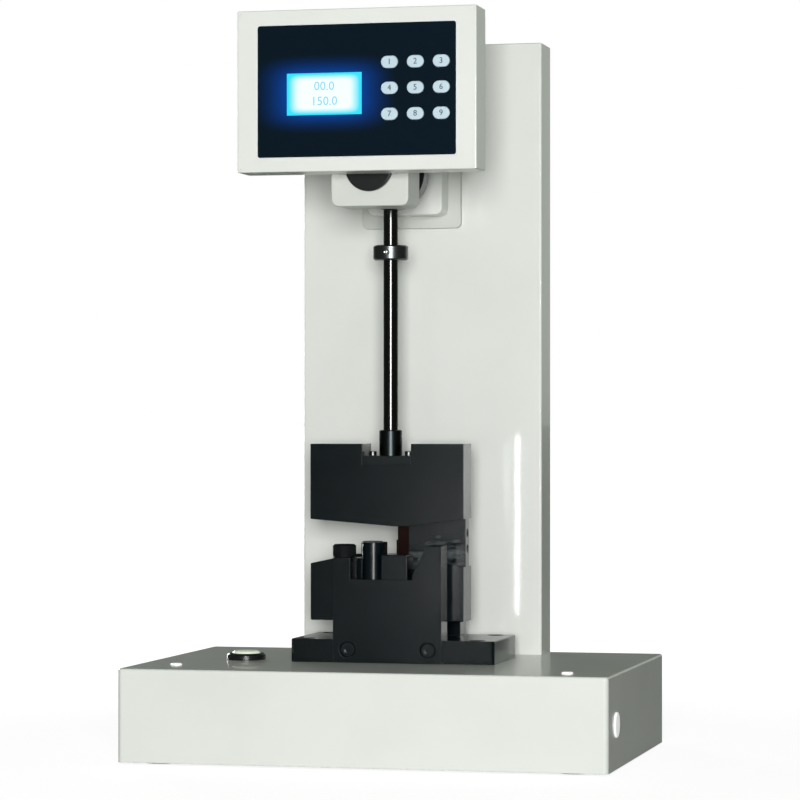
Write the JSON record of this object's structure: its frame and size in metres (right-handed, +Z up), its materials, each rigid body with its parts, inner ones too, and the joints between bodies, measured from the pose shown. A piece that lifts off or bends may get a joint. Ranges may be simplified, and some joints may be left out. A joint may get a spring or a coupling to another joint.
{
  "type": "pendulum impact tester",
  "caption": "Bench pendulum impact tester: a hammer on a rod swings from a column past twin specimen supports on a heavy base, with a digital control box.",
  "frame": {"origin": "on the floor, midway across the base's width and depth", "axes": "+X to the right along the hammer's swing, +Y from the front to the back along the shaft, +Z up"},
  "size_m": [0.522, 0.3552, 0.789],
  "materials": {
    "painted": "glossy off-white paint",
    "black_oxide": "black oxide steel",
    "steel": "ground steel",
    "bright": "bright plating",
    "cast": "raw casting",
    "black_plastic": "matt black",
    "white_plastic": "white",
    "panel": "dark navy film",
    "board": "laminate",
    "lcd": "backlit display",
    "glass": "clear"
  },
  "bodies": {
    "stand": {"base_housing": "painted", "base_casting": "cast", "cover_plugs": "white_plastic", "power_inlet": "black_plastic", "level_ring": "black_plastic", "level_glass": "glass", "column": "painted", "column_cover": "painted", "bearing_pad": "painted", "rear_block": "painted", "front_block": "painted", "bridge": "painted", "bracket_bolts": "black_oxide", "bearing_outers": "steel", "encoder": "black_plastic", "support_flange": "black_oxide", "base_bolts": "black_oxide", "front_support": "black_oxide", "rear_support": "black_oxide", "support_screws": "black_oxide", "clamp_screws": "black_oxide", "anvils": "steel", "specimen_seats": "steel", "latch_bracket": "steel", "box_housing": "painted", "front_panel": "panel", "key_board": "board", "lcd_glass": "lcd", "box_back_cover": "painted", "cover_screws": "bright", "box_arm": "painted", "arm_screws": "black_oxide"},
    "pendulum": {"bearing_inners": "steel", "shaft": "steel", "hub_disc": "black_oxide", "rod": "steel", "balance_ring": "steel", "ring_set_screw": "bright", "rod_socket": "steel", "hammer": "black_oxide", "striker": "black_oxide", "hammer_screws": "bright"},
    "latch": {"latch_pin": "steel", "latch_pawl": "steel", "latch_lever": "black_plastic"},
    "power_switch": {"power_rocker": "black_plastic"},
    "foot_front_left_body": {"foot_front_left": "steel"},
    "foot_front_right_body": {"foot_front_right": "steel"},
    "foot_back_left_body": {"foot_back_left": "steel"},
    "foot_back_right_body": {"foot_back_right": "steel"},
    "key_1_body": {"key_1": "white_plastic"},
    "key_2_body": {"key_2": "white_plastic"},
    "key_3_body": {"key_3": "white_plastic"},
    "key_4_body": {"key_4": "white_plastic"},
    "key_5_body": {"key_5": "white_plastic"},
    "key_6_body": {"key_6": "white_plastic"},
    "key_7_body": {"key_7": "white_plastic"},
    "key_8_body": {"key_8": "white_plastic"},
    "key_9_body": {"key_9": "white_plastic"}
  },
  "joints": [
    {"name": "pendulum_swing", "type": "hinge", "parent": "stand", "child": "pendulum", "pos_m": [-0.013, 0.019, 0.627], "axis": [0, -1, 0], "range_deg": [-150, 150]},
    {"name": "latch_lift", "type": "hinge", "parent": "stand", "child": "latch", "pos_m": [-0.026, 0.019, 0.679], "axis": [0, -1, 0], "range_deg": [0, 14], "stiffness_Nm_per_rad": 0.3, "springref_deg": -22.92},
    {"name": "power_rock", "type": "hinge", "parent": "stand", "child": "power_switch", "pos_m": [0.1945, 0.173, 0.05], "axis": [1, 0, 0], "range_deg": [0, 14]},
    {"name": "foot_front_left_turn_out", "type": "slide", "parent": "stand", "child": "foot_front_left_body", "axis": [0, 0, -1], "range_m": [0, 0.008]},
    {"name": "foot_front_right_turn_out", "type": "slide", "parent": "stand", "child": "foot_front_right_body", "axis": [0, 0, -1], "range_m": [0, 0.008]},
    {"name": "foot_back_left_turn_out", "type": "slide", "parent": "stand", "child": "foot_back_left_body", "axis": [0, 0, -1], "range_m": [0, 0.008]},
    {"name": "foot_back_right_turn_out", "type": "slide", "parent": "stand", "child": "foot_back_right_body", "axis": [0, 0, -1], "range_m": [0, 0.008]},
    {"name": "key_1_press", "type": "slide", "parent": "stand", "child": "key_1_body", "axis": [0, 1, 0], "range_m": [0, 0.0008], "stiffness_N_per_m": 400, "springref_m": -0.0005},
    {"name": "key_2_press", "type": "slide", "parent": "stand", "child": "key_2_body", "axis": [0, 1, 0], "range_m": [0, 0.0008], "stiffness_N_per_m": 400, "springref_m": -0.0005},
    {"name": "key_3_press", "type": "slide", "parent": "stand", "child": "key_3_body", "axis": [0, 1, 0], "range_m": [0, 0.0008], "stiffness_N_per_m": 400, "springref_m": -0.0005},
    {"name": "key_4_press", "type": "slide", "parent": "stand", "child": "key_4_body", "axis": [0, 1, 0], "range_m": [0, 0.0008], "stiffness_N_per_m": 400, "springref_m": -0.0005},
    {"name": "key_5_press", "type": "slide", "parent": "stand", "child": "key_5_body", "axis": [0, 1, 0], "range_m": [0, 0.0008], "stiffness_N_per_m": 400, "springref_m": -0.0005},
    {"name": "key_6_press", "type": "slide", "parent": "stand", "child": "key_6_body", "axis": [0, 1, 0], "range_m": [0, 0.0008], "stiffness_N_per_m": 400, "springref_m": -0.0005},
    {"name": "key_7_press", "type": "slide", "parent": "stand", "child": "key_7_body", "axis": [0, 1, 0], "range_m": [0, 0.0008], "stiffness_N_per_m": 400, "springref_m": -0.0005},
    {"name": "key_8_press", "type": "slide", "parent": "stand", "child": "key_8_body", "axis": [0, 1, 0], "range_m": [0, 0.0008], "stiffness_N_per_m": 400, "springref_m": -0.0005},
    {"name": "key_9_press", "type": "slide", "parent": "stand", "child": "key_9_body", "axis": [0, 1, 0], "range_m": [0, 0.0008], "stiffness_N_per_m": 400, "springref_m": -0.0005}
  ]
}
